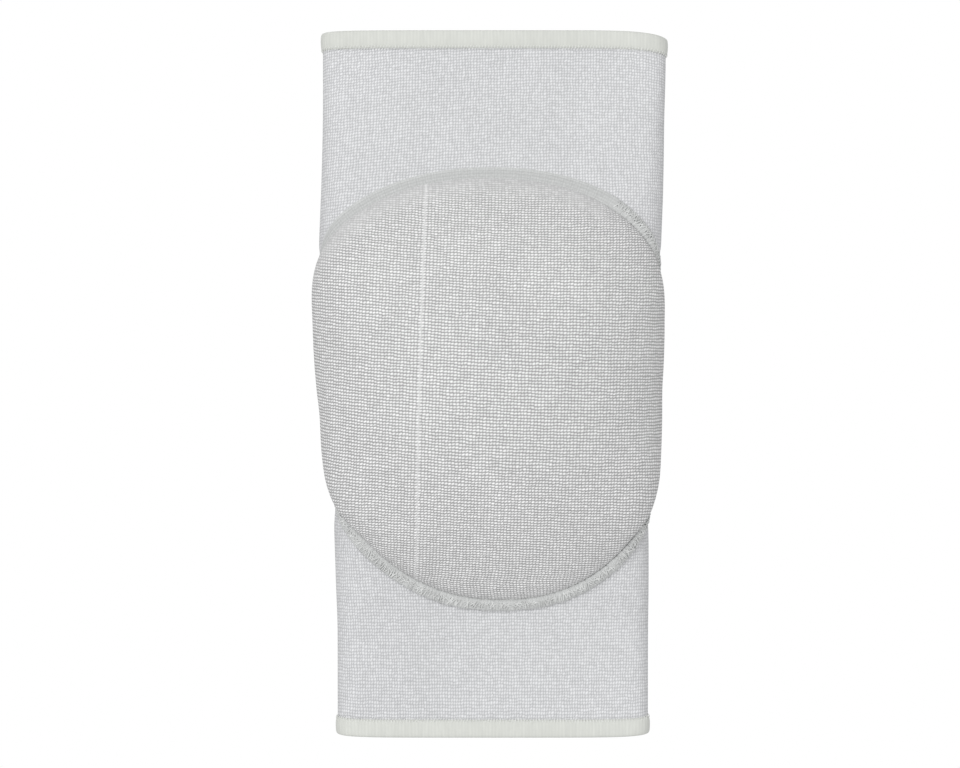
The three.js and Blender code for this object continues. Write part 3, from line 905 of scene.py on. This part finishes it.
class KNEE_OT_cover(bpy.types.Operator):
    """Stretch the knitted cover over the foam"""

    bl_idname = "knee_pad.cover"
    bl_label = "Cover"

    squares = 96
    slack = 0.35 * MM  # how much closer to the foam the cover starts than its solid
    swell_limit = 0.8 * MM
    swell_frames = 20
    smooth_begins, smooth_ends = 0.88, 0.99  # shares of the way out, where the knit is pulled smooth and darkened by painted shade
    drop, sag = 0.08, 0.6  # of the courses: to the right, and in the middle
    seam_allowance = 8 * MM
    oval_share = 0.8  # of the flat cloth's rectangle

    def execute(self, context):
        scene = context.scene
        pad = PadForm(scene)
        piece = self.lay(scene, pad)
        self.swell(piece)
        select_only(piece)
        rounder = piece.modifiers.new("finer", "SUBSURF")
        rounder.levels = rounder.render_levels = 1
        apply_modifier(piece, rounder)
        wall = piece.modifiers.new("cloth", "SOLIDIFY")
        wall.thickness = pad.pad.cover
        wall.offset = -1
        apply_modifier(piece, wall)
        hand_over(piece, "pad_knit", "pad_cover")
        return {"FINISHED"}

    def lay(self, scene, pad):
        """A square net of faces, rounded to the pad's outline."""
        n = self.squares
        side = np.linspace(-1, 1, n + 1)
        a, b = np.meshgrid(side, side, indexing="xy")
        x, y = a * np.sqrt(1 - b**2 / 2), b * np.sqrt(1 - a**2 / 2)
        far, turn = np.hypot(x, y), np.arctan2(y, x)
        shares = pad.even_shares(np.minimum(far, 1))
        grow = pad.pad.gap + pad.pad.cover - self.slack
        points = pad.place(shares, turn, grow + pad.bagging(shares, turn))
        i, j = grid(n, n)
        first = i * (n + 1) + j
        corners = np.stack([first, first + 1, first + n + 2, first + n + 1], axis=1)
        flat = (pad.outline(turn) - pad.middle) * shares[..., None] + pad.middle
        uv = self.stitch_counts(scene.knee_pad_knit, KnitLay(pad, grow).at(flat)).reshape(-1, 2)
        piece = cloth_mesh("knitted_cover", points, corners, uv[corners], cover_knit(scene.knee_pad_colours))
        rim = piece.vertex_groups.new(name="sewn_rim")
        # 1 at the turned-under rim, where the knit goes smooth and painted shade darkens it.
        stretched_and_shaded = smooth_step(shares, self.smooth_begins, self.smooth_ends)
        mark(piece, "stretched_and_shaded", stretched_and_shaded * (1 - overlocked_share(turn)))
        edge = (np.maximum(np.abs(a), np.abs(b)) > 1 - 1e-6).ravel()
        rim.add(np.flatnonzero(edge).tolist(), 1.0, "REPLACE")
        return piece

    def stitch_counts(self, knit, spread):
        """The courses drop to the right, most at the left."""
        x, y = spread[..., 0], spread[..., 1]
        return pairs(x / knit.cover_wale, (y + self.drop * x - self.sag * x**2) / knit.cover_course)

    def swell(self, piece):
        """Let the sewn-down cover swell as cloth does. Nothing moves in towards the foam, and nothing swells far."""
        scene = bpy.context.scene
        start = np.array([v.co for v in piece.data.vertices])
        outwards = np.array([v.normal for v in piece.data.vertices])
        cloth = piece.modifiers.new("cloth", "CLOTH")
        settings = cloth.settings
        settings.quality = 5
        settings.mass = 0.002
        settings.tension_stiffness = settings.compression_stiffness = 0.4
        settings.shear_stiffness = 0.2
        settings.bending_stiffness = 0.05
        settings.vertex_group_mass = "sewn_rim"
        settings.use_pressure = True
        settings.uniform_pressure_force = 4.0
        settings.effector_weights.gravity = 0
        cloth.collision_settings.use_collision = False
        for number in range(self.swell_frames):
            scene.frame_set(1 + number)
        depsgraph = bpy.context.evaluated_depsgraph_get()
        swollen = np.array([v.co for v in piece.evaluated_get(depsgraph).data.vertices])
        piece.modifiers.remove(cloth)
        scene.frame_set(1)
        risen = ((swollen - start) * outwards).sum(axis=1, keepdims=True)
        risen = self.swell_limit * np.tanh(np.maximum(risen, 0) / self.swell_limit)
        piece.data.vertices.foreach_set("co", (start + outwards * risen).ravel())
        piece.data.update()


class KNEE_OT_seam_ridge(bpy.types.Operator):
    """Gather the cloth edges into a ridge round the pad"""

    bl_idname = "knee_pad.seam_ridge"
    bl_label = "Seam ridge"

    samples = 8  # for each stitch
    sides = 18
    bulge = 0.6  # share of the ridge's height that its round top takes
    lumpiness, draw_in = 0.07, 0.1  # shares of the ridge's size
    sunk, least = -0.15 * MM, 0.02 * MM  # its underside in the cloth, and its least height above
    crease = math.radians(75)

    def execute(self, context):
        scene = context.scene
        pad = PadForm(scene)
        stitches, turns = pad.seam_turns(self.samples)
        counts = np.arange(len(turns) + 1) / self.samples
        wave = 0.5 + 0.5 * np.cos(2 * math.pi * counts[:-1])
        lumps = np.random.default_rng(5).uniform(-1, 1, stitches)
        lumps = np.interp(counts[:-1], np.arange(stitches), lumps, period=stitches)
        fullness = 1 + overlocked_share(turns) * (self.lumpiness * lumps - self.draw_in * wave)
        middle, width, height, tilt = (v[:, None] for v in pad.seam_section(turns))
        width, height = width * fullness[:, None], height * fullness[:, None]
        angle = np.linspace(0, 2 * math.pi, self.sides, endpoint=False)[None]
        across = middle + width / 2 * np.cos(angle)
        up = (1 - self.bulge + self.bulge * np.sin(angle)) * height - tilt * np.cos(angle)
        up = np.where(np.sin(angle) < -1e-6, self.sunk, np.maximum(up, self.least))
        points = pad.over_sleeve(pad.outline(np.repeat(turns[:, None], self.sides, 1), across), up)
        uv = pairs(counts[:, None], np.arange(self.sides + 1)[None] / self.sides)
        piece = tube_mesh("gathered_ridge", points, uv, ridge_cloth(scene.knee_pad_colours))
        mark(piece, "turned", np.repeat(1 - overlocked_share(turns), self.sides))
        bpy.ops.object.shade_smooth_by_angle(angle=self.crease)
        hand_over(piece, "seam_thread", "pad_seam")
        return {"FINISHED"}


def overlocked_share(turn):
    """1 where the overlock shows, and 0 round the upper left, where the cover's edge is turned under."""
    turn = np.degrees(np.mod(turn, 2 * math.pi))
    begins, ends = ((at - TURNED_UNDER_EASE, at + TURNED_UNDER_EASE) for at in TURNED_UNDER)
    return 1 - rise_and_fall(turn, begins, ends)


def arch_of_thread(name, long, high, thread, slant, material, wrap=0.0):
    """An arch of thread that stands across the seam, a little aslant. Its legs reach down by wrap times its height."""
    bpy.ops.object.select_all(action="DESELECT")
    bpy.ops.mesh.primitive_torus_add(
        major_segments=12,
        minor_segments=5,
        major_radius=long / 2,
        minor_radius=thread / 2,
        rotation=(math.pi / 2, 0, 0),
    )
    stitch = bpy.context.active_object
    stitch.name = name
    bpy.ops.object.transform_apply(location=True, rotation=True, scale=True)
    bpy.ops.object.mode_set(mode="EDIT")
    bpy.ops.mesh.select_all(action="SELECT")
    bpy.ops.mesh.bisect(plane_co=(0, 0, -wrap * long / 2), plane_no=(0, 0, 1), clear_inner=True, use_fill=True)
    bpy.ops.mesh.select_all(action="SELECT")
    bpy.ops.transform.resize(value=(1, 1, high / (long / 2)), center_override=(0, 0, 0))
    bpy.ops.transform.rotate(value=slant, orient_axis="Z", center_override=(0, 0, 0))
    bpy.ops.mesh.normals_make_consistent(inside=False)
    bpy.ops.object.mode_set(mode="OBJECT")
    bpy.ops.object.shade_smooth()
    stitch.data.materials.append(material)
    return stitch


def sew(stitch, name, places):
    """Copies one stitch to each place, a matrix, and joins the copies into one piece."""
    copies = []
    for place in places:
        copy = stitch.copy()
        copy.data = stitch.data.copy()
        copy.data.transform(place)
        bpy.context.scene.collection.objects.link(copy)
        copies.append(copy)
    bpy.data.objects.remove(stitch)
    bpy.ops.object.select_all(action="DESELECT")
    for copy in copies:
        copy.select_set(True)
    bpy.context.view_layer.objects.active = copies[0]
    bpy.ops.object.join()
    copies[0].name = copies[0].data.name = name
    return copies[0]


def standing_frames(base, along, above):
    """Matrices that set X across the seam, Y along it and Z off the cloth, at each base point."""
    y = along - base
    y = y / np.linalg.norm(y, axis=1, keepdims=True)
    z = above - base
    z = z - y * (z * y).sum(axis=1, keepdims=True)
    z = z / np.linalg.norm(z, axis=1, keepdims=True)
    x = np.cross(y, z)
    frames = np.zeros((len(base), 4, 4))
    frames[:, :3] = np.stack([x, y, z, base], axis=-1)
    frames[:, 3, 3] = 1
    return [Matrix(frame) for frame in frames]


class KNEE_OT_overlock(bpy.types.Operator):
    """Sew the overlock loops over the ridge"""

    bl_idname = "knee_pad.overlock"
    bl_label = "Overlock stitches"

    bulge = KNEE_OT_seam_ridge.bulge
    leg_share = 0.6  # how far the legs reach down, as a share of the arch's height
    low_shade = 0.78
    low = 0.05 * MM
    small_turn = 0.004  # radians, to find which way the seam runs
    loose_begins, loose_ends = (165, 200), (315, 345)  # degrees round the pad
    slide = 0.4 * MM
    twist, loose_twist = 0.35, 0.6  # radians
    width_range, height_range = (0.82, 0.96), (0.98, 1.14)  # shares of the ridge's

    def execute(self, context):
        scene = context.scene
        pad = PadForm(scene)
        turns = pad.seam_turns(2)[1]
        seam = pad.seam
        material = twisted_thread("overlock_thread", scene.knee_pad_colours.seam_thread, self.low_shade)
        for name, first, slant in (("needle_threads", 0, 30), ("looper_threads", 1, -26)):
            slant = math.radians(slant)
            high = self.bulge * seam.height
            loop = arch_of_thread(name, seam.width, high, seam.thread, slant, material, self.leg_share)
            piece = sew(loop, name, self.places(pad, turns[first::2], first))
            hand_over(piece, "seam_thread")
        return {"FINISHED"}

    def places(self, pad, turns, seed):
        """Where the thread crosses the ridge. No two crossings are quite alike, and they lie loose by the calf."""
        turns = turns[overlocked_share(turns) > 0.5]
        middle, width, height, tilt = pad.seam_section(turns)
        loose = rise_and_fall(np.degrees(turns), self.loose_begins, self.loose_ends)

        def at(turn, up):
            return pad.over_sleeve(pad.outline(turn, middle), up)

        base = at(turns, self.low)
        places = standing_frames(base, at(turns + self.small_turn, self.low), at(turns, self.low + MM))
        chance = np.random.default_rng(seed)
        for i, place in enumerate(places):
            slid = chance.uniform(-self.slide, self.slide)
            moved = Matrix.Translation((0, slid, (1 - self.bulge) * height[i]))
            twisted = chance.uniform(-1, 1) * (self.twist + self.loose_twist * loose[i])
            turned = Matrix.Rotation(twisted, 4, "Z")
            wide = width[i] / pad.seam.width * chance.uniform(*self.width_range)
            high = height[i] / pad.seam.height * chance.uniform(*self.height_range)
            tipped = Matrix.Identity(4)
            tipped[2][0] = -2 * tilt[i] / width[i]
            places[i] = place @ moved @ tipped @ turned @ Matrix.Diagonal((wide, 1, high, 1))
        return places


class KNEE_OT_hem_stitches(bpy.types.Operator):
    """Sew the free edge of each hem to the sleeve"""

    bl_idname = "knee_pad.hem_stitches"
    bl_label = "Hem stitches"

    loop_length, loop_height, slant = 1.7 * MM, 0.5 * MM, math.radians(12)
    past_edge = 0.35 * MM
    low, small_step = 0.1 * MM, 0.2 * MM

    def execute(self, context):
        scene = context.scene
        form = SleeveForm(scene)
        hem = scene.knee_pad_hem
        material = twisted_thread("hem_thread", scene.knee_pad_colours.hem_thread)
        for name, end in (("thigh_hem_stitches", 1), ("calf_hem_stitches", -1)):
            edge = end * (scene.knee_pad_sleeve.length / 2 - hem.depth)
            stitches = hem_stitch_count(form, hem, end)
            arc = (2 * np.arange(stitches) / stitches - 1) * float(form.half_way_round(edge))
            y = np.full(stitches, edge + end * self.past_edge)
            base = form.place(arc, y, self.low)
            along = form.place(arc + self.small_step, y, self.low)
            above = form.place(arc, y, self.low + MM)
            arch = arch_of_thread("hem_loop", self.loop_length, self.loop_height, hem.thread, self.slant, material)
            piece = sew(arch, name, standing_frames(base, along, above))
            hand_over(piece, "hem_knit")
        return {"FINISHED"}


class KNEE_OT_stage(bpy.types.Operator):
    """Lay the floor, and set up the lights and the camera straight above"""

    bl_idname = "knee_pad.stage"
    bl_label = "Stage"

    floor_size, floor_drop = 6, 0.4 * MM
    sky_strength = 0.72
    camera_place, camera_lens, camera_near = (-0.0037, 0, 1.2), 126, 0.05

    def execute(self, context):
        scene = context.scene
        bpy.ops.object.select_all(action="DESELECT")
        bpy.ops.mesh.primitive_plane_add(size=self.floor_size, location=(0, 0, -self.floor_drop))
        floor = context.active_object
        floor.name = "pale_floor"
        floor.data.materials.append(self.paper(scene.knee_pad_colours))
        self.light("key_light", place=(-0.85, 1.2, 2.8), size=1.6, power=46)
        self.light("fill_light", place=(0.3, -1.5, 1.7), size=1.6, power=7)
        world = bpy.data.worlds.new("soft_sky")
        world.use_nodes = True
        sky = world.node_tree.nodes["Background"]
        sky.inputs["Color"].default_value = (1, 1, 1, 1)
        sky.inputs["Strength"].default_value = self.sky_strength
        scene.world = world
        scene.view_settings.view_transform = "Standard"
        bpy.ops.object.camera_add(location=self.camera_place, rotation=(0, 0, 0))
        camera = context.active_object
        camera.name = "camera_above"
        camera.data.lens = self.camera_lens
        camera.data.clip_start = self.camera_near
        scene.camera = camera
        return {"FINISHED"}

    @staticmethod
    def paper(colours):
        """Lit paper: it looks plain white from above, and throws only a little light back on the pad."""
        material, tree, shader = new_material("lit_paper", roughness=0.9)
        shader.inputs["Base Color"].default_value = colours.floor
        glow = add_node(tree, "ShaderNodeEmission", {"Color": (1.0, 1.0, 1.0, 1.0), "Strength": 1.0})
        seen = add_node(tree, "ShaderNodeLightPath").outputs["Is Camera Ray"]
        both = add_node(tree, "ShaderNodeMixShader", {0: seen, 1: shader.outputs[0], 2: glow.outputs[0]})
        tree.links.new(both.outputs[0], tree.nodes["Material Output"].inputs["Surface"])
        return material

    @staticmethod
    def light(name, place, size, power):
        bpy.ops.object.light_add(type="AREA", location=place)
        lamp = bpy.context.active_object
        lamp.name = name
        lamp.data.shape = "DISK"
        lamp.data.size = size
        lamp.data.energy = power
        lamp.rotation_euler = (-Vector(place)).to_track_quat("-Z", "Y").to_euler()


class KNEE_PT_panel(bpy.types.Panel):
    """Lists the knee pad's pieces"""

    bl_idname = "KNEE_PT_panel"
    bl_label = "Knee Pad"
    bl_space_type = "VIEW_3D"
    bl_region_type = "UI"
    bl_category = "Knee Pad"

    def draw(self, context):
        for operator in OPERATORS:
            self.layout.operator(operator.bl_idname)
        for name, group in SETTINGS.items():
            box = self.layout.box()
            for field in group.__annotations__:
                box.prop(getattr(context.scene, name), field)


OPERATORS = (
    KNEE_OT_sleeve,
    KNEE_OT_hems,
    KNEE_OT_foam,
    KNEE_OT_cover,
    KNEE_OT_seam_ridge,
    KNEE_OT_overlock,
    KNEE_OT_hem_stitches,
    KNEE_OT_stage,
)


def register():
    for group in (*SETTINGS.values(), *OPERATORS, KNEE_PT_panel):
        bpy.utils.register_class(group)
    for name, group in SETTINGS.items():
        setattr(bpy.types.Scene, name, bpy.props.PointerProperty(type=group))


def unregister():
    for name in SETTINGS:
        delattr(bpy.types.Scene, name)
    for group in (KNEE_PT_panel, *reversed(OPERATORS), *SETTINGS.values()):
        bpy.utils.unregister_class(group)


def main():
    register()
    bpy.ops.knee_pad.sleeve()
    bpy.ops.knee_pad.hems()
    bpy.ops.knee_pad.foam()
    bpy.ops.knee_pad.cover()
    bpy.ops.knee_pad.seam_ridge()
    bpy.ops.knee_pad.overlock()
    bpy.ops.knee_pad.hem_stitches()
    bpy.ops.knee_pad.stage()


if __name__ == "__main__":
    main()
